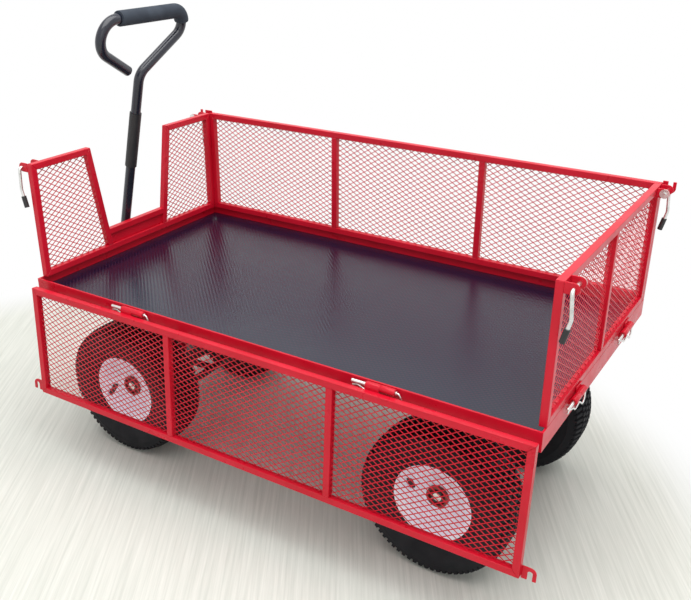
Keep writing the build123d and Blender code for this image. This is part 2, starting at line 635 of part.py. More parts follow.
# Centre swivel: a yoke around the tongue's sleeve, an arm behind and two ears for the handle in front
EAR_SPAN = 2 * (HANDLE_RADIUS + EAR_GAP)
YOKE_FRONT = SWIVEL_X + YOKE_REACH
with BuildPart() as swivel:
    for low in (YOKE_BOTTOM, YOKE_TOP - YOKE_PLATE):
        with BuildSketch(level(low)):
            with Locations((SWIVEL_X, 0)):
                Circle(YOKE_RADIUS)
            with Locations((SWIVEL_X + (YOKE_REACH + YOKE_PLATE) / 2, 0)):
                Rectangle(YOKE_REACH + YOKE_PLATE, 2 * YOKE_RADIUS)
        extrude(amount=YOKE_PLATE)
    with BuildSketch(level(YOKE_BOTTOM)):
        with Locations((YOKE_FRONT + YOKE_PLATE / 2, 0)):
            Rectangle(YOKE_PLATE, 2 * YOKE_RADIUS)
    extrude(amount=YOKE_TOP - YOKE_BOTTOM)
    with BuildSketch(level(YOKE_BOTTOM)):
        with Locations((SWIVEL_X - ARM / 2, 0)):
            Rectangle(ARM, ARM_WIDTH)
        with Locations((SWIVEL_X - ARM, 0)):
            Circle(ARM_WIDTH / 2)
    extrude(amount=YOKE_PLATE)
    with BuildSketch(level(YOKE_BOTTOM)):
        with Locations((SWIVEL_X, 0)):
            Circle(KINGPIN_RADIUS)
    extrude(amount=YOKE_TOP + PIN_HEAD - YOKE_BOTTOM)
    with BuildSketch(level(YOKE_TOP)):
        with Locations((SWIVEL_X, 0)):
            Circle(PIN_HEAD_RADIUS)
    extrude(amount=PIN_HEAD)
    with BuildSketch(level(LINK_BOTTOM - PIN_HEAD)):
        with Locations((SWIVEL_X - ARM, 0)):
            Circle(LINK_PIN_RADIUS)
    extrude(amount=YOKE_BOTTOM - LINK_BOTTOM + PIN_HEAD)
    for side in (-1, 1):
        with BuildSketch(profile(side * EAR_SPAN / 2)):
            with BuildLine():
                Polyline(
                    (YOKE_FRONT, YOKE_BOTTOM),
                    (YOKE_FRONT + YOKE_PLATE, YOKE_BOTTOM),
                    (PIVOT_X + EAR_NOSE, PIVOT_Z - EAR_NOSE),
                    (PIVOT_X + EAR_NOSE, PIVOT_Z + EAR_NOSE / 2),
                    (PIVOT_X, PIVOT_Z + EAR_TOP),
                    (YOKE_FRONT, PIVOT_Z + EAR_TOP),
                    close=True,
                )
            make_face()
            with Locations((PIVOT_X, PIVOT_Z)):
                Circle(PIVOT_BOLT_RADIUS + PIVOT_PLAY, mode=Mode.SUBTRACT)
        extrude(amount=-side * EAR_PLATE)
    stop_offset = HANDLE_RADIUS + PIVOT_PLAY + STOP_RADIUS
    stop_x = PIVOT_X - STOP_RISE * sin(radians(HANDLE_LEAN)) - stop_offset * cos(radians(HANDLE_LEAN))
    stop_z = PIVOT_Z + STOP_RISE * cos(radians(HANDLE_LEAN)) - stop_offset * sin(radians(HANDLE_LEAN))
    with BuildSketch(profile(0)):
        with Locations((stop_x, stop_z)):
            Circle(STOP_RADIUS)
    extrude(amount=EAR_SPAN / 2 + EAR_PLATE, both=True)
swivel.part.label = "swivel"
export_step(swivel.part, "parts/swivel.step")

# Pivot bolt of the handle
with BuildPart() as pivot_bolt:
    bolt_half = EAR_SPAN / 2 + EAR_PLATE + PIVOT_PLAY
    with BuildSketch(profile(0)):
        with Locations((PIVOT_X, PIVOT_Z)):
            Circle(PIVOT_BOLT_RADIUS)
    extrude(amount=bolt_half + PIN_HEAD, both=True)
    for side in (-1, 1):
        with BuildSketch(profile(side * bolt_half)):
            with Locations((PIVOT_X, PIVOT_Z)):
                RegularPolygon(2 * PIVOT_BOLT_RADIUS, 6)
        extrude(amount=-side * PIN_HEAD)
pivot_bolt.part.label = "pivot_bolt"
export_step(pivot_bolt.part, "parts/pivot_bolt.step")

# Handle: its own plane has x to the left and y up the shaft from the pivot
shaft_up = Vector(-sin(radians(HANDLE_LEAN)), 0, cos(radians(HANDLE_LEAN)))
shaft_front = Vector(cos(radians(HANDLE_LEAN)), 0, sin(radians(HANDLE_LEAN)))
HANDLE = Plane(origin=(DECK_X + PIVOT_X, DECK_Y, PIVOT_Z), x_dir=(0, 1, 0), z_dir=shaft_front)
with BuildPart() as handle_tube:
    with BuildLine(HANDLE) as shaft:
        FilletPolyline(
            (0, -HANDLE_HEEL),
            (0, SHAFT_LENGTH),
            (-LOOP_RIGHT, LOOP_TOP),
            (LOOP_LEFT, LOOP_TOP),
            (LOOP_END_Y, LOOP_TOP - LOOP_END_DROP),
            radius=[LOOP_NECK_RADIUS, LOOP_RIGHT_RADIUS, LOOP_LEFT_RADIUS],
        )
    heel = shifted(HANDLE, 0, -HANDLE_HEEL, 0)
    with BuildSketch(Plane(origin=heel.origin, x_dir=(0, 1, 0), z_dir=shaft_up)):
        Circle(HANDLE_RADIUS)
    sweep(path=shaft.line)
    with BuildSketch(profile(0)):
        with Locations((PIVOT_X, PIVOT_Z)):
            Circle(PIVOT_BOLT_RADIUS + PIVOT_PLAY)
    extrude(amount=2 * HANDLE_RADIUS, both=True, mode=Mode.SUBTRACT)
handle_tube.part.label = "handle_tube"
export_step(handle_tube.part, "parts/handle_tube.step")

with BuildPart() as handle_sleeve:
    low = shifted(HANDLE, 0, SLEEVE_FROM, 0)
    with BuildSketch(Plane(origin=low.origin, x_dir=(0, 1, 0), z_dir=shaft_up)):
        Circle(HANDLE_SLEEVE_RADIUS)
        Circle(HANDLE_RADIUS + FIT_CLEARANCE, mode=Mode.SUBTRACT)
    extrude(amount=SLEEVE_TO - SLEEVE_FROM)
handle_sleeve.part.label = "handle_sleeve"
export_step(handle_sleeve.part, "parts/handle_sleeve.step")

with BuildPart() as handle_grip:
    start = shifted(HANDLE, GRIP_FROM, LOOP_TOP, 0)
    with BuildSketch(Plane(origin=start.origin, x_dir=shaft_up, z_dir=(0, 1, 0))):
        Circle(GRIP_RADIUS)
        Circle(HANDLE_RADIUS + FIT_CLEARANCE, mode=Mode.SUBTRACT)
    extrude(amount=GRIP_TO - GRIP_FROM)
handle_grip.part.label = "handle_grip"
export_step(handle_grip.part, "parts/handle_grip.step")

# Wheel forms, x outward along the axle from the wheel's middle: a lugged tyre on a dished rim with a hub
BEAD = BEAD_WIDTH / 2
CROWN = TREAD_WIDTH / 2
FLAT = TREAD_FLAT / 2
BULGE = TYRE_WIDTH / 2
SHOULDER_RADIUS = TYRE_RADIUS - SHOULDER_DROP
BULGE_RADIUS = (FLANGE_RADIUS + SHOULDER_RADIUS) / 2
TREAD_BASE = TYRE_RADIUS - TREAD_DEPTH
GROOVE_INNER = LUG_CENTRE / 2
GROOVE_OUTER = GROOVE_INNER + LUG_GROOVE
with BuildPart() as tyre_form:
    with BuildSketch():
        for side in (-1, 1):
            with BuildLine():
                wall = side * (BEAD - RIM_WALL)
                Polyline((0, BEAD_RADIUS), (wall, BEAD_RADIUS), (wall, FLANGE_RADIUS))
                bulge = (side * BULGE, BULGE_RADIUS)
                ThreePointArc((wall, FLANGE_RADIUS), bulge, (side * CROWN, SHOULDER_RADIUS))
                Polyline(
                    (side * CROWN, SHOULDER_RADIUS),
                    (side * FLAT, TYRE_RADIUS),
                    (side * GROOVE_OUTER, TYRE_RADIUS),
                    (side * GROOVE_OUTER, TREAD_BASE),
                    (side * GROOVE_INNER, TREAD_BASE),
                    (side * GROOVE_INNER, TYRE_RADIUS),
                    (0, TYRE_RADIUS),
                    (0, BEAD_RADIUS),
                )
            make_face()
    revolve(axis=Axis.X)
    rows = (
        # inner side, outer side, turn as a share of the lugs' pitch
        (-GROOVE_INNER, GROOVE_INNER, 0.5),
        (GROOVE_OUTER, BULGE, 0),
        (-BULGE, -GROOVE_OUTER, 0),
    )
    for inner, outer, turn in rows:
        with BuildSketch(Plane.YZ.offset(inner)) as gaps:
            with PolarLocations(TYRE_RADIUS, LUG_COUNT, start_angle=turn * 360 / LUG_COUNT):
                Rectangle(2 * TREAD_DEPTH, LUG_GAP)
        extrude(amount=outer - inner, mode=Mode.SUBTRACT)

with BuildPart() as rim_form:
    tube = BEAD_RADIUS - FIT_CLEARANCE
    lip = BEAD - RIM_WALL + FIT_CLEARANCE
    seat = BEAD - DISH_DEPTH
    with BuildSketch():
        with BuildLine():
            Polyline(
                (-BEAD, FLANGE_RADIUS),
                (-lip, FLANGE_RADIUS),
                (-lip, tube),
                (lip, tube),
                (lip, FLANGE_RADIUS),
                (BEAD, FLANGE_RADIUS),
                (BEAD, tube - RIM_WALL),
                (seat, DISH_FLAT_RADIUS),
                (seat, HUB_RADIUS + HUB_CLEARANCE),
                (seat - RIM_WALL, HUB_RADIUS + HUB_CLEARANCE),
                (seat - RIM_WALL, DISH_FLAT_RADIUS),
                (BEAD - 2 * RIM_WALL, tube - RIM_WALL),
                (-BEAD, tube - RIM_WALL),
                close=True,
            )
        make_face()
    revolve(axis=Axis.X)
    with BuildSketch(Plane.YZ.offset(seat - RIM_WALL)):
        with Locations((SLOT_PLACE, 0)):
            SlotOverall(SLOT_LENGTH, SLOT_WIDTH, rotation=SLOT_TURN)
    extrude(amount=DISH_DEPTH + RIM_WALL, mode=Mode.SUBTRACT)

with BuildPart() as hub_form:
    face = HUB_OUTER_Y - WHEEL_Y
    bore = AXLE_RADIUS + AXLE_PLAY
    with BuildSketch():
        with BuildLine():
            Polyline(
                (face, HUB_RADIUS),
                (face, HUB_RADIUS - HUB_WALL),
                (face - HUB_RECESS, HUB_RADIUS - HUB_WALL),
                (face - HUB_RECESS, bore),
                (face - HUB_LENGTH, bore),
                (face - HUB_LENGTH, HUB_RADIUS),
                close=True,
            )
        make_face()
    revolve(axis=Axis.X)

# Wheels: the same three forms at each axle end, outer side out
WHEELS = (
    # name, axle position, side, where the rim's slot stands in degrees up from forward
    ("front_left", FRONT_AXLE_X, 1, -21),
    ("front_right", FRONT_AXLE_X, -1, 140),
    ("rear_left", REAR_AXLE_X, 1, 20),
    ("rear_right", REAR_AXLE_X, -1, 75),
)
for name, axle_x, side, turn in WHEELS:
    centre = (DECK_X + axle_x, DECK_Y + side * WHEEL_Y, AXLE_Z)
    forward = (side * sin(radians(turn)), 0, -side * cos(radians(turn)))
    axle = Plane(origin=centre, x_dir=(0, side, 0), z_dir=forward)
    for piece, form in (("tyre", tyre_form), ("rim", rim_form), ("hub", hub_form)):
        with BuildPart() as wheel_piece:
            with Locations(axle.location):
                add(form.part)
        wheel_piece.part.label = f"{name}_{piece}"
        export_step(wheel_piece.part, f"parts/{name}_{piece}.step")
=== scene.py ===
"""Looks of the garden trolley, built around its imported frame. Metres, +X to the handle, +Y left, +Z up."""
import json
from math import atan2, ceil, cos, pi, radians, sin, sqrt

import bmesh
import bpy
from mathutils import Matrix, Vector


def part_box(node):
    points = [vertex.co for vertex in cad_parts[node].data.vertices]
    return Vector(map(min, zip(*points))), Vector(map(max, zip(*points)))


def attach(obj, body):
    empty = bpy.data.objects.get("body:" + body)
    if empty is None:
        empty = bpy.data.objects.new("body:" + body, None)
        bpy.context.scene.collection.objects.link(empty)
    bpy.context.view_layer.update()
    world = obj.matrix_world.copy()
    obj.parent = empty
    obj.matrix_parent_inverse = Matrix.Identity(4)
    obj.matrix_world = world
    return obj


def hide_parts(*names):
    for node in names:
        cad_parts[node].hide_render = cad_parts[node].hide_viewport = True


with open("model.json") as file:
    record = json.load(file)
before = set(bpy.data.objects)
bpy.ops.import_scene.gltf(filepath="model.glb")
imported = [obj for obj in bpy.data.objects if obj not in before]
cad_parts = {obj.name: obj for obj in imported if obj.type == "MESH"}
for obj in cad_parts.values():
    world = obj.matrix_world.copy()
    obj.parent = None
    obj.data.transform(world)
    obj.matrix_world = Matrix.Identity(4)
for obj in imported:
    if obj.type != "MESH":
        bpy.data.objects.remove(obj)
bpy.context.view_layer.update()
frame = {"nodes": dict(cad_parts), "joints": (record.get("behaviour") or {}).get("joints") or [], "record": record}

NODES = frame["nodes"]
JOINTS = {joint["name"]: joint for joint in frame["joints"]}

# Camera, measured from the deck's centre on the ground
CAMERA_EYE = Vector((-0.98777, 1.57652, 1.26180))
CAMERA_FORWARD = Vector((0.47350, -0.77360, -0.42112))
CAMERA_RIGHT = Vector((-0.85129, -0.52466, 0.00662))
CAMERA_LENS = 45.92
CAMERA_SENSOR = 36.0
CAMERA_SHIFT = (0.00359, 0.01035)

# Stage and light
FLOOR_REACH = 12.0
FLOOR_COLOURS = ((0.62, 0.64, 0.58), (0.78, 0.79, 0.73))
FLOOR_CLOUD = 3.0
FLOOR_MIDDLE = (0.2, 0.5, 0)
BRUSH_TURN = atan2(CAMERA_FORWARD.y, CAMERA_FORWARD.x)
BRUSH_STRETCH = (0.30, 0.007, 1.0)
FADE_START = 1.20
FADE_END = 1.43
WHITE = (1, 1, 1, 1)
SKY_LIGHT = 0.54
LAMP_TARGET = Vector((0, 0, 0.4))
LAMPS = (
    # name, place, size, power
    ("top", (-0.4, 0.6, 3.8), 4.0, 165),
    ("fill", (-2.2, 3.0, 1.6), 2.0, 9),
    ("back", (-1.6, -2.6, 3.2), 2.4, 16),
)

# Finishes; a colour wanders between its dark and light, a roughness between its low and high
RED_PAINT = {
    "dark": (0.55, 0.004, 0.019),
    "light": (0.64, 0.007, 0.028),
    "cloud": 9.0,
    "patch": 22.0,
    "low": 0.26,
    "high": 0.38,
    "grain": 420.0,
    "depth": 0.03,
}
DECK_FILM = {
    "dark": (0.002, 0.004, 0.018),
    "light": (0.009, 0.013, 0.040),
    "cloud": 5.0,
    "patch": 14.0,
    "low": 0.16,
    "high": 0.24,
    "grain": 42.0,
    "depth": 0.4,
}
FOAM = {
    "dark": (0.030, 0.038, 0.052),
    "light": (0.052, 0.064, 0.084),
    "cloud": 40.0,
    "patch": 80.0,
    "low": 0.70,
    "high": 0.92,
    "grain": 520.0,
    "depth": 0.5,
}
METALS = (
    # slot, dark, light, low roughness, high roughness, metallic
    ("zinc", (0.62, 0.62, 0.60), (0.82, 0.82, 0.80), 0.22, 0.38, 1.0),
    ("hub_steel", (0.10, 0.018, 0.016), (0.22, 0.05, 0.04), 0.34, 0.52, 0.35),
)
METAL_CLOUD = 60.0
METAL_GRAIN = 500.0
METAL_DEPTH = 0.05
COATED = (
    # slot, dark, light, low roughness, high roughness, grain, depth, coat, specular
    ("black_cap", (0.012, 0.012, 0.013), (0.022, 0.022, 0.024), 0.42, 0.58, 600.0, 0.15, 0.0, 0.5),
    ("black_steel", (0.014, 0.014, 0.015), (0.030, 0.029, 0.028), 0.35, 0.52, 240.0, 0.10, 0.0, 0.5),
    ("black_gloss", (0.007, 0.009, 0.018), (0.013, 0.015, 0.028), 0.22, 0.30, 120.0, 0.02, 0.3, 0.5),
    ("tyre", (0.006, 0.006, 0.008), (0.013, 0.013, 0.016), 0.62, 0.82, 300.0, 0.25, 0.0, 0.25),
    ("rim_paint", (0.82, 0.84, 0.97), (0.88, 0.90, 1.00), 0.28, 0.42, 260.0, 0.06, 0.2, 0.5),
)
COATED_CLOUD = 14.0
COATED_PATCH = 30.0
NOISE_MIDDLE = (0.3, 0.7)
SOFT_DETAIL = 2.0
CLOUD_DETAIL = 4.0
PATCH_DETAIL = 3.0
FINE_RELIEF = 0.0006
DEEP_RELIEF = 0.0008
PLATE_RELIEF = 0.0004

# Rounding
SMOOTH_ANGLE = 35
LUG_SMOOTH_ANGLE = 30
BEVEL_ANGLE = 40
BEVEL_SEGMENTS = 2
BARREL_STEPS = 28
EAR_STEPS = 16
PIN_STEPS = 24
WIRE_SIDES = 12
BEND_STEPS = 6
TYRE_STEPS = 120
RIM_STEPS = 96
# steps round the dark shell behind each rim, which paints the shade inside the wheel
PAINTED_SHADE_LINER_STEPS = 64
SLOT_STEPS = 10
AXLE_STEPS = 32
GRIP_STEPS = 14
GRIP_SIDES = 32
PARALLEL = 1e-12
SHORTEST = 1e-6

# Panels
TUBE = 0.015
TUBE_EDGE = 0.0020
DIAMOND_LONG = 0.0206
DIAMOND_SHORT = 0.0130
STRAND_WIDTH = 0.0017
STRAND_THICKNESS = 0.0011
STRAND_TILT = radians(12)
STRAND_BITE = 0.004
SIDE_POSTS = (-1 / 6, 1 / 6)
REAR_POSTS = (0,)
NOTCH_TOP = 0.266
NOTCH_SILL = 0.198
SILL_HEIGHT = 0.057
SILL_SHEET = 0.003

# Hinges
SIDE_HINGE_SPREAD = 0.620
REAR_HINGE_SPREAD = 0.320
BARREL_RADIUS = 0.00698
BARREL_LENGTH = 0.031
BARREL_GAP = 0.0005
BARREL_BORE = 0.0043
LEAF_THICKNESS = 0.003
LEAF_HEIGHT = 0.008

# Hinge pins, each held by a spring wire bent from its head round to its tip
PIN_RADIUS = 0.0035
PIN_TIP = 0.063
PIN_LENGTH = 0.098
PIN_NOSE = 0.0012
WIRE_RADIUS = 0.0018
WIRE_BEND = 0.007
WIRE_PATH = (
    # along the pin from its tip, below its axis
    (0.0025, 0.0088),
    (0.0135, 0.0054),
    (0.0260, 0.0115),
    (0.0370, 0.0140),
    (0.0510, 0.0250),
    (0.0730, 0.0190),
    (0.0980, 0.0365),
    (0.1075, 0.0290),
    (0.1065, 0.0100),
    (0.1010, 0.0005),
    (0.0950, 0.0000),
)

# Latch ears
EAR_THICKNESS = 0.003
EAR_RADIUS = 0.0105
EAR_INSETS = (0.0015, 0.033)
BOLT_REACH = 0.016
BOLT_DROP = 0.010

# Tyres
TYRE_PLAY = 0.0002
BULGE_PLAY = 0.0005
WALL_STEPS = 14
WALL_RIBS = (3, 11)
RIB_HEIGHT = 0.0011
SWELL_START = 0.12
SWELL_RUN = 0.86
SWELL_POWER = 0.8
TREAD_STEPS = 8
TREAD_FLAT = 0.018
TREAD_FALL = 0.007
LUG_COUNT = 72
LUG_DEPTH = 0.007
LUG_TAPER = 0.0007
LUG_ROOT = 0.001
LUG_ROWS = (
    # inner edge and outer edge across the tread, gap along it, turn as a share of the pitch
    (-0.0075, 0.0075, 0.0050, 0.0),
    (0.0120, 0.0265, 0.0050, 0.5),
    (0.0310, 0.0530, 0.0058, 0.0),
)

# Rims with a dark shell of painted shade behind their dishes, axle ends and cross members
RIM_WALL = 0.003
RIM_FLANGE = 0.011
RIM_DISH = 0.030
RIM_FLAT = 0.038
RIM_BORE = 0.0244
RIM_EDGE = 0.0010
# Dark shell behind each rim's disc: painted shade, a dark sheet where the wheel's inside is only in shade, so that
# the rim's slot shows dark
PAINTED_SHADE_LINER_GAP = 0.0006
PAINTED_SHADE_LINER_WALL = 0.0010
SLOT_LENGTH = 0.033
SLOT_WIDTH = 0.012
SLOT_PLACE = 0.059
AXLE_SINK = 0.0014
AXLE_END = (
    # along the axle from the nut's face, away from its middle
    (-0.001, 0.0),
    (-0.001, 0.0096),
    (0.0003, 0.0092),
    (0.0009, 0.0070),
    (0.0012, 0.0035),
    (0.0012, 0.0),
)
SPLIT_PIN_RADIUS = 0.0014
SPLIT_PIN_HALF = 0.0125
SPLIT_PIN_LEAN = 0.6
CROSS_WIDTH = 0.040
CROSS_SLANT = 0.090
CROSS_TOE = 0.006

# Foam grip, in the handle's own plane from its pivot
HANDLE_LEAN = 13.84
LOOP_TOP = 0.786
BEND_START = -0.099
BEND_RADIUS = 0.033
GRIP_END = 0.084
GRIP_TURN = 78
GRIP_RADIUS = 0.01745
GRIP_EDGE = 0.0015

# Edges of nodes that stay
WELD_REACH = 0.00001
NODE_EDGES = {
    "deck_frame": 0.0010,
    "side_left_hooks": 0.0006,
    "side_right_hooks": 0.0006,
}

# The frame's own sizes
DECK_LOW, DECK_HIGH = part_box("deck_board")
DECK = Vector(((DECK_LOW.x + DECK_HIGH.x) / 2, (DECK_LOW.y + DECK_HIGH.y) / 2, 0))
FRONT_LOW, FRONT_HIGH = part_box("front_panel")
RIGHT_LOW, RIGHT_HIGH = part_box("side_right_panel")
FRAME_TOP = FRONT_LOW.z
PANEL_HEIGHT = RIGHT_HIGH.z - FRAME_TOP
END_WIDTH = FRONT_HIGH.y - FRONT_LOW.y
SIDE_LENGTH = RIGHT_HIGH.x - RIGHT_LOW.x
SIDE_SHIFT = (RIGHT_HIGH.x + RIGHT_LOW.x) / 2 - DECK.x
HALF_WIDTH = DECK.y - RIGHT_HIGH.y + TUBE
HINGE_DROP = FRAME_TOP - JOINTS["right_side_fold"]["pos_m"][2]
HINGE_OUT = DECK.y - HALF_WIDTH - JOINTS["right_side_fold"]["pos_m"][1]


# Node materials

def shader(name, **sockets):
    """A new material with one surface shader; constant sockets are set directly."""
    material = bpy.data.materials.new(name)
    material.use_nodes = True
    surface = material.node_tree.nodes["Principled BSDF"]
    for socket, value in sockets.items():
        surface.inputs[socket.replace("_", " ")].default_value = value
    return material


def new_node(material, kind, **settings):
    """A node of this kind, its settings and inputs filled in."""
    node = material.node_tree.nodes.new(kind)
    for name, value in settings.items():
        if hasattr(node, name):
            setattr(node, name, value)
        else:
            node.inputs[name.replace("_", " ")].default_value = value
    return node


def link(material, source, target):
    """Join one node's output to another node's input."""
    material.node_tree.links.new(source, target)


def object_noise(material, scale, detail=SOFT_DETAIL):
    """Noise in the object's own metres."""
    place = new_node(material, "ShaderNodeTexCoord")
    noise = new_node(material, "ShaderNodeTexNoise", Scale=scale, Detail=detail)
    link(material, place.outputs["Object"], noise.inputs["Vector"])
    return noise.outputs["Fac"]


def spread(material, factor, low, high):
    """Map a factor's middle range to a range of values."""
    bottom, top = NOISE_MIDDLE
    node = new_node(material, "ShaderNodeMapRange", From_Min=bottom, From_Max=top, To_Min=low, To_Max=high)
    link(material, factor, node.inputs["Value"])
    return node.outputs["Result"]


def mottle(material, scale, dark, light):
    """Let the base colour wander between two near colours."""
    mix = new_node(material, "ShaderNodeMix", data_type="RGBA")
    wander = spread(material, object_noise(material, scale, CLOUD_DETAIL), 0.0, 1.0)
    link(material, wander, mix.inputs["Factor"])
    for socket in mix.inputs:
        if socket.type == "RGBA":
            socket.default_value = (*dark, 1) if socket.name == "A" else (*light, 1)
    surface = material.node_tree.nodes["Principled BSDF"]
    link(material, [out for out in mix.outputs if out.type == "RGBA"][0], surface.inputs["Base Color"])
    return mix


def vary_roughness(material, scale, low, high):
    """Let the roughness wander between two values."""
    surface = material.node_tree.nodes["Principled BSDF"]
    wander = spread(material, object_noise(material, scale, PATCH_DETAIL), low, high)
    link(material, wander, surface.inputs["Roughness"])


def bump(material, height, strength, distance):
    """Raise the surface by a height factor."""
    node = new_node(material, "ShaderNodeBump", Strength=strength, Distance=distance)
    link(material, height, node.inputs["Height"])
    surface = material.node_tree.nodes["Principled BSDF"]
    link(material, node.outputs["Normal"], surface.inputs["Normal"])


def red_paint():
    """Gloss powder coat with a fine orange peel."""
    paint = shader("red_paint", Specular_IOR_Level=0.27, Coat_Weight=0.04, Coat_Roughness=0.12)
    mottle(paint, RED_PAINT["cloud"], RED_PAINT["dark"], RED_PAINT["light"])
    vary_roughness(paint, RED_PAINT["patch"], RED_PAINT["low"], RED_PAINT["high"])
    bump(paint, object_noise(paint, RED_PAINT["grain"]), RED_PAINT["depth"], FINE_RELIEF)
    return paint


def deck_film():
    """Black film-faced board with a fine crossed wire pattern pressed into it."""
    film = shader("deck_film", Specular_IOR_Level=0.6)
    mix = mottle(film, DECK_FILM["cloud"], DECK_FILM["dark"], DECK_FILM["light"])
    place = new_node(film, "ShaderNodeTexCoord")
    turned = new_node(film, "ShaderNodeMapping", Rotation=(0, 0, pi / 4))
    link(film, place.outputs["Object"], turned.inputs["Vector"])
    waves = []
    for direction in ("X", "Y"):
        wave = new_node(film, "ShaderNodeTexWave", bands_direction=direction, Scale=DECK_FILM["grain"])
        link(film, turned.outputs["Vector"], wave.inputs["Vector"])
        waves.append(wave.outputs["Fac"])
    pattern = new_node(film, "ShaderNodeMath", operation="MULTIPLY")
    link(film, waves[0], pattern.inputs[0])
    link(film, waves[1], pattern.inputs[1])
    bump(film, pattern.outputs["Value"], DECK_FILM["depth"], DEEP_RELIEF)
    link(film, pattern.outputs["Value"], mix.inputs["Factor"])
    vary_roughness(film, DECK_FILM["patch"], DECK_FILM["low"], DECK_FILM["high"])
    return film


def metal(name, dark, light, low, high, metallic):
    """Bare or plated metal with a clouded finish."""
    plate = shader(name, Metallic=metallic)
    mottle(plate, METAL_CLOUD, dark, light)
    vary_roughness(plate, 2 * METAL_CLOUD, low, high)
    bump(plate, object_noise(plate, METAL_GRAIN), METAL_DEPTH, PLATE_RELIEF)
    return plate


def coated(name, dark, light, low, high, grain, depth, coat, specular):
    """Paint, rubber or plastic with a grain."""
    skin = shader(name, Coat_Weight=coat, Coat_Roughness=0.06, Specular_IOR_Level=specular)
    mottle(skin, COATED_CLOUD, dark, light)
    vary_roughness(skin, COATED_PATCH, low, high)
    bump(skin, object_noise(skin, grain, PATCH_DETAIL), depth, FINE_RELIEF)
    return skin


def foam():
    """Closed-cell foam with small pits."""
    skin = shader("foam", Specular_IOR_Level=0.3)
    mottle(skin, FOAM["cloud"], FOAM["dark"], FOAM["light"])
    vary_roughness(skin, FOAM["patch"], FOAM["low"], FOAM["high"])
    place = new_node(skin, "ShaderNodeTexCoord")
    cells = new_node(skin, "ShaderNodeTexVoronoi", Scale=FOAM["grain"])
    link(skin, place.outputs["Object"], cells.inputs["Vector"])
    bump(skin, cells.outputs["Distance"], FOAM["depth"], DEEP_RELIEF)
    return skin


MATERIALS = {"red_paint": red_paint(), "deck_board": deck_film(), "foam": foam()}
MATERIALS.update({row[0]: metal(*row) for row in METALS})
MATERIALS.update({row[0]: coated(*row) for row in COATED})


# Shapes

class Shape:
    """Points and faces gathered in a local frame that a matrix places."""

    def __init__(self, place=None):
        self.place = place or Matrix()
        self.points = []
        self.faces = []

    def add(self, points, faces):
        """Take in points of the local frame and faces by their numbers."""
        base = len(self.points)
        self.points.extend(self.place @ Vector(point) for point in points)
        self.faces.extend([base + number for number in face] for face in faces)

    def prism(self, outline, low, high):
        """A closed outline in the local x and y, standing from low to high."""
        count = len(outline)
        points = [(x, y, z) for z in (low, high) for x, y in outline]
        sides = [[i, (i + 1) % count, count + (i + 1) % count, count + i] for i in range(count)]
        self.add(points, sides + [list(range(count))[::-1], list(range(count, 2 * count))])

    def block(self, middle, size):
        """A box about a middle point."""
        x, y, z = (side / 2 for side in size)
        corners = ((-x, -y), (x, -y), (x, y), (-x, y))
        self.prism([(middle[0] + a, middle[1] + b) for a, b in corners], middle[2] - z, middle[2] + z)

    def lathe(self, section, steps):
        """Turn a section of points (along, away) about the local x; the section is a closed ring."""
        count = len(section)
        points = []
        for step in range(steps):
            turn = 2 * pi * step / steps
            points.extend((along, away * cos(turn), away * sin(turn)) for along, away in section)
        faces = []
        for step in range(steps):
            this, after = step * count, (step + 1) % steps * count
            for i in range(count):
                j = (i + 1) % count
                faces.append([this + i, this + j, after + j, after + i])
        self.add(points, faces)

    def wire(self, path, radius, sides=10):
        """A round wire along points of the local frame, closed at both ends."""
        path = [Vector(point) for point in path]
        heading = (path[1] - path[0]).normalized()
        across = heading.orthogonal().normalized()
        points = []
        for i, point in enumerate(path):
            ahead = path[min(i + 1, len(path) - 1)] - path[max(i - 1, 0)]
            ahead.normalize()
            across = (across - ahead * across.dot(ahead)).normalized()
            other = ahead.cross(across)
            for side in range(sides):
                turn = 2 * pi * side / sides
                points.append(point + radius * (across * cos(turn) + other * sin(turn)))
        faces = [list(range(sides))[::-1], list(range(len(points) - sides, len(points)))]
        for i in range(len(path) - 1):
            for side in range(sides):
                after = (side + 1) % sides
                this, beyond = i * sides, (i + 1) * sides
                faces.append([this + side, this + after, beyond + after, beyond + side])
        self.add(points, faces)


def solid(shape, name):
    """An object of a shape's points and faces, its normals outward."""
    mesh = bpy.data.meshes.new(name)
    mesh.from_pydata(shape.points, [], shape.faces)
    form = bmesh.new()
    form.from_mesh(mesh)
    bmesh.ops.recalc_face_normals(form, faces=form.faces)
    form.to_mesh(mesh)
    form.free()
    thing = bpy.data.objects.new(name, mesh)
    bpy.context.scene.collection.objects.link(thing)
    return thing


def cut_away(thing, hole):
    """Take a shape out of an object."""
    tool = solid(hole, "hole")
    cut = thing.modifiers.new("hole", "BOOLEAN")
    cut.object = tool
    cut.solver = "EXACT"
    view = bpy.context.evaluated_depsgraph_get()
    thing.data = bpy.data.meshes.new_from_object(thing.evaluated_get(view))
    thing.modifiers.remove(cut)
    bpy.data.objects.remove(tool)


def piece(shape, name, body, slot, stands_for=(), edge=0.0, smooth=SMOOTH_ANGLE, hole=None):
    """Make an object of a shape, with its material, its body and the nodes that it stands for."""
    thing = solid(shape, name)
    if hole:
        cut_away(thing, hole)
    thing.data.shade_smooth()
    thing.data.set_sharp_from_angle(angle=radians(smooth))
    thing.data.materials.clear()
    thing.data.materials.append(MATERIALS[slot])
    if edge:
        round_edges(thing, edge)
    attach(thing, body)
    if stands_for:
        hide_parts(*stands_for)


def round_edges(thing, width):
    """Round an object's sharp edges."""
    bevel = thing.modifiers.new("rounded_edges", "BEVEL")
    bevel.width = width
    bevel.segments = BEVEL_SEGMENTS
    bevel.limit_method = "ANGLE"
    bevel.angle_limit = radians(BEVEL_ANGLE)
    bevel.harden_normals = True


def arc(centre, radius, start, end, steps):
    """Points of an arc in a plane, its angles in degrees."""
    turns = [radians(start + (end - start) * step / steps) for step in range(steps + 1)]
    return [(centre[0] + radius * cos(turn), centre[1] + radius * sin(turn)) for turn in turns]


# Panels

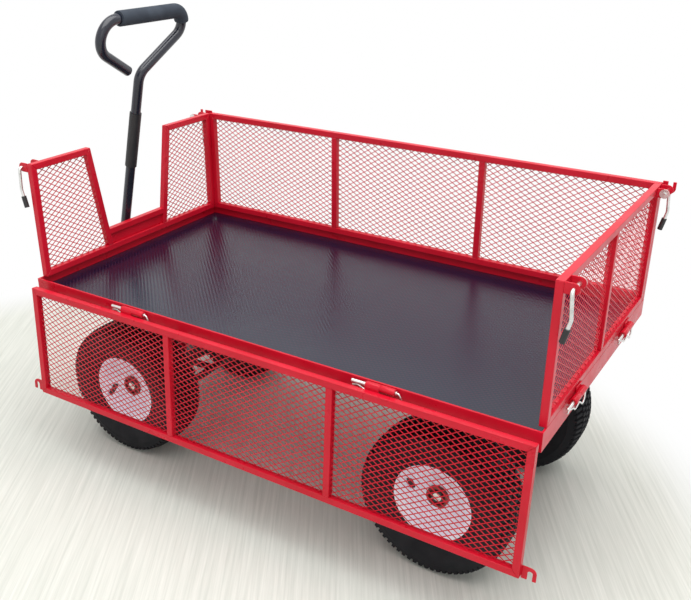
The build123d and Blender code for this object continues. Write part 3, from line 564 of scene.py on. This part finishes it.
def hinge_frame(outward, hinge, fold=0.0):
    """Frame of a panel on its hinge line: x along it, y up the panel, z outward when raised."""
    out = Vector(outward)
    rise = Vector((0, 0, 1))
    up = rise * cos(fold) + out * sin(fold)
    across = out * cos(fold) - rise * sin(fold)
    along = up.cross(across)
    return Matrix((
        (along.x, up.x, across.x, hinge.x),
        (along.y, up.y, across.y, hinge.y),
        (along.z, up.z, across.z, hinge.z),
        (0, 0, 0, 1),
    ))


def clipped(start, end, outline):
    """The stretch of a line inside a convex outline, or None."""
    low, high = 0.0, 1.0
    run = end - start
    count = len(outline)
    for i in range(count):
        corner, after = outline[i], outline[(i + 1) % count]
        side = after - corner
        inward = Vector((-side.y, side.x))
        reach = inward.dot(start - corner)
        gain = inward.dot(run)
        if abs(gain) < PARALLEL:
            if reach < 0:
                return None
            continue
        share = -reach / gain
        if gain > 0:
            low = max(low, share)
        else:
            high = min(high, share)
    if high - low < SHORTEST:
        return None
    return start + run * low, start + run * high


def expanded_mesh(shape, outline, depth):
    """Fill a convex outline, given anticlockwise, with stretched sheet: tilted strands in diamonds."""
    outline = [Vector(corner) for corner in outline]
    left = min(corner.x for corner in outline)
    right = max(corner.x for corner in outline)
    bottom = min(corner.y for corner in outline)
    top = max(corner.y for corner in outline)
    step = Vector((DIAMOND_LONG / 2, DIAMOND_SHORT / 2))
    columns = ceil((right - left) / step.x)
    rows = ceil((top - bottom) / step.y)
    lean = Vector((0, cos(STRAND_TILT), sin(STRAND_TILT)))
    for column in range(columns):
        for row in range(rows):
            rising = (column + row) % 2 == 0
            corner = Vector((left + column * step.x, bottom + row * step.y))
            start = corner if rising else corner + Vector((0, step.y))
            end = corner + step if rising else corner + Vector((step.x, 0))
            kept = clipped(start, end, outline)
            if kept is None:
                continue
            a, b = (Vector((point.x, point.y, depth)) for point in kept)
            ahead = (b - a).normalized()
            wide = (lean - ahead * lean.dot(ahead)).normalized() * (STRAND_WIDTH / 2)
            thick = ahead.cross(wide).normalized() * (STRAND_THICKNESS / 2)
            ring = (wide + thick, thick - wide, -wide - thick, wide - thick)
            overrun = ahead * (STRAND_THICKNESS / 2)
            points = [a - overrun + corner for corner in ring] + [b + overrun + corner for corner in ring]
            faces = [[i, (i + 1) % 4, 4 + (i + 1) % 4, 4 + i] for i in range(4)]
            shape.add(points, faces + [[3, 2, 1, 0], [4, 5, 6, 7]])


def rectangle(left, right, low, high):
    """Corners of a rectangle, anticlockwise."""
    return [(left, low), (right, low), (right, high), (left, high)]


def mitred_frame(shape, left, right, posts):
    """A rectangle of square tube mitred at its corners, with posts between, in a panel's frame."""
    outer = rectangle(left, right, PANEL_LOW, PANEL_TOP)
    inner = rectangle(left + TUBE, right - TUBE, PANEL_LOW + TUBE, PANEL_TOP - TUBE)
    for i in range(4):
        j = (i + 1) % 4
        shape.prism([outer[i], outer[j], inner[j], inner[i]], -HINGE_OUT - TUBE, -HINGE_OUT)
    for x in posts:
        post = rectangle(x - TUBE / 2, x + TUBE / 2, PANEL_LOW + TUBE, PANEL_TOP - TUBE)
        shape.prism(post, -HINGE_OUT - TUBE, -HINGE_OUT)


def hinge_halves(shape, spread_along, side):
    """A panel's own barrels and leaves, beside the middle of each hinge."""
    for place in (-spread_along / 2, spread_along / 2):
        start = place + side * BARREL_GAP / 2
        end = start + side * BARREL_LENGTH
        ring = [(start, BARREL_BORE), (start, BARREL_RADIUS), (end, BARREL_RADIUS), (end, BARREL_BORE)]
        shape.lathe(ring, BARREL_STEPS)
        leaf_top = HINGE_DROP + LEAF_HEIGHT
        middle = ((start + end) / 2, leaf_top / 2, -HINGE_OUT + LEAF_THICKNESS / 2)
        shape.block(middle, (BARREL_LENGTH, leaf_top, LEAF_THICKNESS))


def latch_ears(shape):
    """Pairs of round-ended ears at both upper corners of an end panel."""
    up = HINGE_DROP + PANEL_HEIGHT - BOLT_DROP
    nose = arc((-(BOLT_REACH - HINGE_OUT), up), EAR_RADIUS, 90, 270, EAR_STEPS)
    outline = [(HINGE_OUT, up - EAR_RADIUS), (HINGE_OUT, up + EAR_RADIUS)] + nose
    ears = Shape(Matrix.Rotation(pi / 2, 4, "Y"))
    for side in (-1, 1):
        for inset in EAR_INSETS:
            middle = side * (END_WIDTH / 2 - inset)
            ears.prism(outline, middle - EAR_THICKNESS / 2, middle + EAR_THICKNESS / 2)
    shape.add(ears.points, ears.faces)


PANEL_LOW = HINGE_DROP
PANEL_TOP = HINGE_DROP + PANEL_HEIGHT
MESH_DEPTH = -HINGE_OUT - TUBE / 2


def plain_panel(name, body, place, width, shift, posts, spread_along, side, ears=False):
    """A side or rear panel: mitred tubes, its hinge halves, and mesh let into the tubes."""
    left, right = shift - width / 2, shift + width / 2
    tubes = Shape(place)
    mitred_frame(tubes, left, right, [shift + share * width for share in posts])
    hinge_halves(tubes, spread_along, side)
    if ears:
        latch_ears(tubes)
    piece(tubes, f"{name}_tubes", body, "red_paint", [name], TUBE_EDGE)
    bite = TUBE - STRAND_BITE
    mesh = Shape(place)
    expanded_mesh(mesh, rectangle(left + bite, right - bite, PANEL_LOW + bite, PANEL_TOP - bite), MESH_DEPTH)
    piece(mesh, f"{name}_mesh", body, "red_paint")


def front_panel(place):
    """Two mesh wings beside the opening for the handle, over a low sill."""
    tubes = Shape(place)
    half = END_WIDTH / 2
    flare = (NOTCH_TOP - NOTCH_SILL) / 2 / (PANEL_HEIGHT - SILL_HEIGHT)
    slant = TUBE * sqrt(1 + flare ** 2)
    foot = NOTCH_SILL / 2 - flare * SILL_HEIGHT
    back, face = -HINGE_OUT - TUBE, -HINGE_OUT
    low, high = PANEL_LOW, PANEL_TOP

    def inner_edge(height):
        """How far the slanted tube's open side lies from the middle at a height over the sill's foot."""
        return foot + flare * height

    head = (inner_edge(PANEL_HEIGHT), high)
    head_inner = (inner_edge(PANEL_HEIGHT - TUBE) + slant, high - TUBE)
    mesh = Shape(place)
    for side in (-1, 1):
        bars = (
            [(half, low), (half, high), (half - TUBE, high - TUBE), (half - TUBE, low + TUBE)],
            [(half, high), head, head_inner, (half - TUBE, high - TUBE)],
            [head, (inner_edge(TUBE), low + TUBE), (inner_edge(TUBE) + slant, low + TUBE), head_inner],
        )
        for bar in bars:
            tubes.prism([(side * x, y) for x, y in bar], back, face)
        bite = TUBE - STRAND_BITE
        wing = [
            (half - bite, low + bite),
            (half - bite, high - bite),
            (inner_edge(PANEL_HEIGHT) + bite, high - bite),
            (inner_edge(0) + bite, low + bite),
        ]
        wing = [(side * x, y) for x, y in wing]
        expanded_mesh(mesh, wing if side > 0 else wing[::-1], MESH_DEPTH)
    tubes.prism([(-half, low), (half, low), (half - TUBE, low + TUBE), (TUBE - half, low + TUBE)], back, face)
    sill = low + SILL_HEIGHT
    reach = NOTCH_SILL / 2
    tubes.prism([(-reach, sill), (reach, sill), (reach, sill - TUBE), (-reach, sill - TUBE)], back, face)
    sheet_middle = (0, low + SILL_HEIGHT / 2, (back + face) / 2)
    tubes.block(sheet_middle, (NOTCH_SILL, SILL_HEIGHT - 2 * TUBE, SILL_SHEET))
    latch_ears(tubes)
    piece(tubes, "front_panel_tubes", "chassis", "red_paint", ["front_panel"], TUBE_EDGE)
    piece(mesh, "front_panel_mesh", "chassis", "red_paint")


def joint_place(name):
    """Where a joint's axis passes."""
    return Vector(JOINTS[name]["pos_m"])


RAISED = radians(JOINTS["left_side_fold"]["range_deg"][1])
LEFT_PLACE = hinge_frame((0, 1, 0), joint_place("left_side_fold"), RAISED)
RIGHT_PLACE = hinge_frame((0, -1, 0), joint_place("right_side_fold"))
REAR_PLACE = hinge_frame((-1, 0, 0), joint_place("rear_end_fold"))
REAR_REACH = DECK.x - joint_place("rear_end_fold").x
FRONT_PLACE = hinge_frame((1, 0, 0), Vector((DECK.x + REAR_REACH, DECK.y, FRAME_TOP - HINGE_DROP)))
plain_panel(
    "side_left_panel", "left_side", LEFT_PLACE, SIDE_LENGTH, -SIDE_SHIFT, SIDE_POSTS, SIDE_HINGE_SPREAD, -1
)
plain_panel(
    "side_right_panel", "right_side", RIGHT_PLACE, SIDE_LENGTH, SIDE_SHIFT, SIDE_POSTS, SIDE_HINGE_SPREAD, 1
)
plain_panel("rear_panel", "rear_end", REAR_PLACE, END_WIDTH, 0.0, REAR_POSTS, REAR_HINGE_SPREAD, 1, ears=True)
front_panel(FRONT_PLACE)


# Hinge pins

def rounded(path, radius):
    """A path with its corners turned into short curves."""
    path = [Vector(point) for point in path]
    smooth = [path[0]]
    for before, corner, after in zip(path, path[1:], path[2:]):
        cut = min(radius, (corner - before).length / 2, (after - corner).length / 2)
        start = corner + (before - corner).normalized() * cut
        end = corner + (after - corner).normalized() * cut
        for step in range(BEND_STEPS + 1):
            share = step / BEND_STEPS
            smooth.append(start.lerp(corner, share).lerp(corner.lerp(end, share), share))
    return smooth + [path[-1]]


def hinge_pin(shape, middle, tail):
    """A pin through one hinge, its tip towards the tail's direction, and its spring wire."""
    tail = Vector(tail)
    down = Vector((0, 0, -1))
    tip = middle + tail * PIN_TIP

    def spot(along, below):
        """A point measured from the pin's tip."""
        return tip - tail * along + down * below

    section = [
        (0.0, 0.0),
        (0.0, PIN_RADIUS - PIN_NOSE),
        (PIN_NOSE, PIN_RADIUS),
        (PIN_LENGTH - PIN_NOSE, PIN_RADIUS),
        (PIN_LENGTH, PIN_RADIUS - PIN_NOSE),
        (PIN_LENGTH, 0.0),
    ]
    rod = Shape(Matrix.Translation(tip) @ tail.to_track_quat("X", "Z").to_matrix().to_4x4())
    rod.lathe([(-along, away) for along, away in section], PIN_STEPS)
    shape.add(rod.points, rod.faces)
    shape.wire(rounded([spot(*point) for point in WIRE_PATH], WIRE_BEND), WIRE_RADIUS, WIRE_SIDES)


pins = Shape()
for joint, spread_along, along, tail in (
    # joint, hinge spread, direction of the hinge line, direction of the pins' tips
    ("left_side_fold", SIDE_HINGE_SPREAD, (1, 0, 0), (1, 0, 0)),
    ("right_side_fold", SIDE_HINGE_SPREAD, (1, 0, 0), (1, 0, 0)),
    ("rear_end_fold", REAR_HINGE_SPREAD, (0, 1, 0), (0, 1, 0)),
):
    for side in (-1, 1):
        hinge_pin(pins, joint_place(joint) + Vector(along) * (side * spread_along / 2), tail)
piece(pins, "hinge_pins_and_wires", "chassis", "zinc", ["hinge_pins"])


# Tyres

def tread_radius(across, radius):
    """Tip radius of the tread at a place across it."""
    fall = max(0.0, abs(across) - TREAD_FLAT) / (LUG_ROWS[-1][1] - TREAD_FLAT)
    return radius - TREAD_FALL * fall ** 2


def tyre(radius, bead, bead_half, bulge):
    """A pneumatic tyre about the local x: a ribbed carcass and five rows of tapered lugs."""
    rubber = Shape()
    crown = LUG_ROWS[-1][1]
    side = []
    wall_top = tread_radius(crown, radius) - LUG_DEPTH
    wall_low = bead + RIM_FLANGE
    for step in range(WALL_STEPS + 1):
        share = step / WALL_STEPS
        away = wall_low + (wall_top - wall_low) * share
        swell = sin(pi * (SWELL_START + SWELL_RUN * share)) ** SWELL_POWER
        rib = RIB_HEIGHT if step in WALL_RIBS else 0.0
        base = bead_half + (crown - LUG_TAPER - bead_half) * share
        side.append((base + (bulge - max(crown, bead_half)) * swell + rib, away))
    tread = []
    for step in range(TREAD_STEPS + 1):
        across = crown - 2 * crown * step / TREAD_STEPS
        tread.append((across, tread_radius(across, radius) - LUG_DEPTH))
    section = [(bead_half, bead)] + side + tread + [(-x, y) for x, y in side[::-1]] + [(-bead_half, bead)]
    rubber.lathe(section, TYRE_STEPS)
    for low, high, gap, turn in LUG_ROWS:
        for flip in ((1, -1) if low > 0 else (1,)):
            for lug in range(LUG_COUNT):
                middle = 2 * pi * (lug + turn) / LUG_COUNT
                half = pi / LUG_COUNT - gap / 2 / radius
                taper = LUG_TAPER / radius
                points = []
                for depth, grow in ((-LUG_DEPTH - LUG_ROOT, 1), (0.0, -1)):
                    for x, turn_side in ((low, -1), (high, -1), (high, 1), (low, 1)):
                        across = flip * (x + grow * LUG_TAPER * (1 if x == high else -1))
                        away = tread_radius(x, radius) + depth
                        angle = middle + turn_side * (half + grow * taper)
                        points.append((across, away * cos(angle), away * sin(angle)))
                faces = [[3, 2, 1, 0], [4, 5, 6, 7], [0, 1, 5, 4], [1, 2, 6, 5], [2, 3, 7, 6], [3, 0, 4, 7]]
                rubber.add(points, faces)
    return rubber


# Wheels

TYRE_LOW, TYRE_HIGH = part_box("rear_left_tyre")
RIM_LOW, RIM_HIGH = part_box("rear_left_rim")
TYRE_RADIUS = (TYRE_HIGH.z - TYRE_LOW.z) / 2
RIM_RADIUS = (RIM_HIGH.z - RIM_LOW.z) / 2
RIM_HALF = (RIM_HIGH.y - RIM_LOW.y) / 2
BULGE = (TYRE_HIGH.y - TYRE_LOW.y) / 2
RUBBER = tyre(TYRE_RADIUS - TYRE_PLAY, RIM_RADIUS - RIM_FLANGE, RIM_HALF - RIM_WALL, BULGE - BULGE_PLAY)
RIM_SEAT = RIM_HALF - RIM_DISH
RIM_TUBE = RIM_RADIUS - RIM_FLANGE
RIM_SECTION = [
    (-RIM_HALF, RIM_RADIUS),
    (RIM_WALL - RIM_HALF, RIM_RADIUS),
    (RIM_WALL - RIM_HALF, RIM_TUBE),
    (RIM_HALF - RIM_WALL, RIM_TUBE),
    (RIM_HALF - RIM_WALL, RIM_RADIUS),
    (RIM_HALF, RIM_RADIUS),
    (RIM_HALF, RIM_TUBE - RIM_WALL),
    (RIM_SEAT, RIM_FLAT),
    (RIM_SEAT, RIM_BORE),
    (RIM_SEAT - RIM_WALL, RIM_BORE),
    (RIM_SEAT - RIM_WALL, RIM_FLAT),
    (RIM_HALF - 2 * RIM_WALL, RIM_TUBE - RIM_WALL),
    (-RIM_HALF, RIM_TUBE - RIM_WALL),
]
# Section of the painted shade shell, just behind the back of the disc
PAINTED_SHADE_LINER_FRONT = [
    (RIM_SEAT - RIM_WALL - PAINTED_SHADE_LINER_GAP, RIM_BORE),
    (RIM_SEAT - RIM_WALL - PAINTED_SHADE_LINER_GAP, RIM_FLAT),
    (RIM_HALF - 2 * RIM_WALL - 2 * PAINTED_SHADE_LINER_GAP, RIM_TUBE - RIM_WALL - PAINTED_SHADE_LINER_GAP),
]
PAINTED_SHADE_LINER_SECTION = PAINTED_SHADE_LINER_FRONT + [(along - PAINTED_SHADE_LINER_WALL, away) for along, away in PAINTED_SHADE_LINER_FRONT[::-1]]
SIDEWAYS = Matrix(((0, 0, 1, 0), (1, 0, 0, 0), (0, 1, 0, 0), (0, 0, 0, 1)))


def wheel_slot(place, forward, turn, lean):
    """The long hole through a rim's dish, as a shape to cut away."""
    middle = Vector((forward * cos(turn), sin(turn))) * SLOT_PLACE
    run = Vector((forward * cos(turn + lean), sin(turn + lean)))
    side = Vector((-run.y, run.x))
    end_radius = SLOT_WIDTH / 2
    half = SLOT_LENGTH / 2 - end_radius
    ends = arc((half, 0), end_radius, -90, 90, SLOT_STEPS) + arc((-half, 0), end_radius, 90, 270, SLOT_STEPS)
    hole = Shape(place @ SIDEWAYS)
    hole.prism([middle + run * x + side * y for x, y in ends], RIM_SEAT - 2 * RIM_WALL, RIM_HALF + RIM_WALL)
    return hole


def axle_end(place, name, body):
    """The rounded end of an axle with its split pin, seated on the nut."""
    end = Shape(place)
    end.lathe([(AXLE_FACE + x, away) for x, away in AXLE_END], AXLE_STEPS)
    pin_height = AXLE_FACE + SPLIT_PIN_RADIUS / 2
    across = [(pin_height, y, SPLIT_PIN_LEAN * y) for y in (-SPLIT_PIN_HALF, 0.0, SPLIT_PIN_HALF)]
    end.wire(across, SPLIT_PIN_RADIUS, WIRE_SIDES)
    piece(end, name, body, "zinc")


HUB_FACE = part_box("rear_left_hub")[1].y
AXLE_FACE = HUB_FACE - joint_place("rear_left_spin").y - AXLE_SINK
for wheel, side, carrier, turn, lean in (
    # wheel, side, body of its axle, place of the rim's slot up from forward, its lean from the radius
    ("front_left", 1, "left_knuckle", -21, -48),
    ("front_right", -1, "right_knuckle", 140, -42),
    ("rear_left", 1, "chassis", 20, 62),
    ("rear_right", -1, "chassis", 75, -42),
):
    place = Matrix.Translation(joint_place(f"{wheel}_spin")) @ Matrix.Rotation(side * pi / 2, 4, "Z")
    rubber = Shape(place)
    rubber.add(RUBBER.points, RUBBER.faces)
    piece(rubber, f"{wheel}_rubber", f"{wheel}_wheel", "tyre", [f"{wheel}_tyre"], smooth=LUG_SMOOTH_ANGLE)
    rim = Shape(place)
    rim.lathe(RIM_SECTION, RIM_STEPS)
    hole = wheel_slot(place, -side, radians(turn), radians(lean))
    piece(rim, f"{wheel}_dish", f"{wheel}_wheel", "rim_paint", [f"{wheel}_rim"], RIM_EDGE, hole=hole)
    # A dark shell behind the disc: painted shade, seen through the slot
    painted_shade_liner = Shape(place)
    painted_shade_liner.lathe(PAINTED_SHADE_LINER_SECTION, PAINTED_SHADE_LINER_STEPS)
    piece(painted_shade_liner, f"{wheel}_liner", f"{wheel}_wheel", "black_steel")
    axle_end(place, f"{wheel}_axle_end", carrier)


# Foam grip, from the middle of the loop's top round its right bend

lean = radians(HANDLE_LEAN)
pivot = joint_place("handle_tilt")
HANDLE_PLACE = Matrix((
    (0, -sin(lean), cos(lean), pivot.x),
    (1, 0, 0, pivot.y),
    (0, cos(lean), sin(lean), pivot.z),
    (0, 0, 0, 1),
))
grip = Shape(HANDLE_PLACE)
GRIP_PATH = [(GRIP_END, LOOP_TOP), ((GRIP_END + BEND_START) / 2, LOOP_TOP)]
GRIP_PATH += arc((BEND_START, LOOP_TOP - BEND_RADIUS), BEND_RADIUS, 90, 90 + GRIP_TURN, GRIP_STEPS)
grip.wire([(x, y, 0.0) for x, y in GRIP_PATH], GRIP_RADIUS, GRIP_SIDES)
piece(grip, "handle_foam", "pull_handle", "foam", ["handle_grip"], GRIP_EDGE)


# Cross members under the board, cut to a slant at both ends

CROSS_LOW, CROSS_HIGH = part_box("cross_members")
CROSS_HALF = (CROSS_HIGH.y - CROSS_LOW.y) / 2
CROSS_FLAT = CROSS_HALF - CROSS_SLANT
members = Shape(Matrix.Translation(DECK) @ SIDEWAYS)
for middle in (joint_place("front_left_spin").x, DECK.x, joint_place("rear_left_spin").x):
    outline = [
        (-CROSS_FLAT, CROSS_LOW.z),
        (CROSS_FLAT, CROSS_LOW.z),
        (CROSS_HALF, CROSS_HIGH.z - CROSS_TOE),
        (CROSS_HALF, CROSS_HIGH.z),
        (-CROSS_HALF, CROSS_HIGH.z),
        (-CROSS_HALF, CROSS_HIGH.z - CROSS_TOE),
    ]
    members.prism(outline, middle - DECK.x - CROSS_WIDTH / 2, middle - DECK.x + CROSS_WIDTH / 2)
piece(members, "cross_bars", "chassis", "red_paint", ["cross_members"], TUBE_EDGE)


# Finish of the nodes that stay

for row in frame["record"]["subparts"]:
    node = NODES[row["node"]]
    node.data.materials.clear()
    node.data.materials.append(MATERIALS[row["material_slot"]])
for name, width in NODE_EDGES.items():
    weld = NODES[name].modifiers.new("joined_points", "WELD")
    weld.merge_threshold = WELD_REACH
    round_edges(NODES[name], width)


# Stage, camera and light

def seen_directly(tree):
    """A factor of 1 for rays from the camera, also by way of gloss or glass, and 0 for the rest."""
    path = tree.nodes.new("ShaderNodeLightPath")
    factor = path.outputs["Is Camera Ray"]
    for ray in ("Is Glossy Ray", "Is Transmission Ray"):
        larger = tree.nodes.new("ShaderNodeMath")
        larger.operation = "MAXIMUM"
        tree.links.new(factor, larger.inputs[0])
        tree.links.new(path.outputs[ray], larger.inputs[1])
        factor = larger.outputs["Value"]
    return factor


def floor_material():
    """Pale brushed concrete round the trolley that turns into a white ground further out."""
    pale = shader("floor", Roughness=0.9, Specular_IOR_Level=0.2)
    tree = pale.node_tree
    place = new_node(pale, "ShaderNodeTexCoord")
    brushed = new_node(pale, "ShaderNodeMapping", vector_type="TEXTURE", Scale=BRUSH_STRETCH)
    brushed.inputs["Rotation"].default_value = (0, 0, BRUSH_TURN)
    link(pale, place.outputs["Object"], brushed.inputs["Vector"])
    streaks = new_node(pale, "ShaderNodeTexNoise", Scale=1.0, Detail=5.0, Roughness=0.65)
    link(pale, brushed.outputs["Vector"], streaks.inputs["Vector"])
    mix = mottle(pale, FLOOR_CLOUD, *FLOOR_COLOURS)
    link(pale, spread(pale, streaks.outputs["Fac"], 0.0, 1.0), mix.inputs["Factor"])
    distance = new_node(pale, "ShaderNodeVectorMath", operation="DISTANCE")
    distance.inputs[1].default_value = FLOOR_MIDDLE
    link(pale, place.outputs["Object"], distance.inputs[0])
    fade = new_node(pale, "ShaderNodeMapRange", From_Min=FADE_START, From_Max=FADE_END)
    fade.interpolation_type = "SMOOTHSTEP"
    link(pale, distance.outputs["Value"], fade.inputs["Value"])
    share = new_node(pale, "ShaderNodeMath", operation="MULTIPLY")
    link(pale, fade.outputs["Result"], share.inputs[0])
    link(pale, seen_directly(tree), share.inputs[1])
    white = new_node(pale, "ShaderNodeEmission", Color=WHITE, Strength=1.0)
    blend = new_node(pale, "ShaderNodeMixShader")
    link(pale, share.outputs["Value"], blend.inputs[0])
    link(pale, tree.nodes["Principled BSDF"].outputs[0], blend.inputs[1])
    link(pale, white.outputs[0], blend.inputs[2])
    link(pale, blend.outputs[0], tree.nodes["Material Output"].inputs["Surface"])
    return pale


floor_mesh = bpy.data.meshes.new("floor")
ground = rectangle(-FLOOR_REACH, FLOOR_REACH, -FLOOR_REACH, FLOOR_REACH)
floor_mesh.from_pydata([(x, y, 0) for x, y in ground], [], [[0, 1, 2, 3]])
floor_mesh.materials.append(floor_material())
floor = bpy.data.objects.new("floor", floor_mesh)
bpy.context.scene.collection.objects.link(floor)


def soft_light(name, place, size, power):
    """A square lamp that faces the trolley."""
    lamp = bpy.data.lights.new(name, "AREA")
    lamp.size = size
    lamp.energy = power
    thing = bpy.data.objects.new(name, lamp)
    thing.location = place
    thing.rotation_euler = (LAMP_TARGET - Vector(place)).to_track_quat("-Z", "Y").to_euler()
    bpy.context.scene.collection.objects.link(thing)


for row in LAMPS:
    soft_light(*row)

world = bpy.data.worlds.new("studio")
bpy.context.scene.world = world
world.use_nodes = True
tree = world.node_tree
background = tree.nodes["Background"]
background.inputs["Color"].default_value = WHITE
strength = tree.nodes.new("ShaderNodeMapRange")
strength.inputs["To Min"].default_value = SKY_LIGHT
strength.inputs["To Max"].default_value = 1.0
tree.links.new(seen_directly(tree), strength.inputs["Value"])
tree.links.new(strength.outputs["Result"], background.inputs["Strength"])

camera_data = bpy.data.cameras.new("camera")
camera_data.sensor_width = CAMERA_SENSOR
camera_data.sensor_fit = "HORIZONTAL"
camera_data.lens = CAMERA_LENS
camera_data.shift_x, camera_data.shift_y = CAMERA_SHIFT
camera = bpy.data.objects.new("camera", camera_data)
back = -CAMERA_FORWARD.normalized()
right = (CAMERA_RIGHT - back * CAMERA_RIGHT.dot(back)).normalized()
up = back.cross(right)
eye = CAMERA_EYE + DECK
camera.matrix_world = Matrix((
    (right.x, up.x, back.x, eye.x),
    (right.y, up.y, back.y, eye.y),
    (right.z, up.z, back.z, eye.z),
    (0, 0, 0, 1),
))
bpy.context.scene.collection.objects.link(camera)
bpy.context.scene.camera = camera
bpy.context.scene.view_settings.view_transform = "Standard"
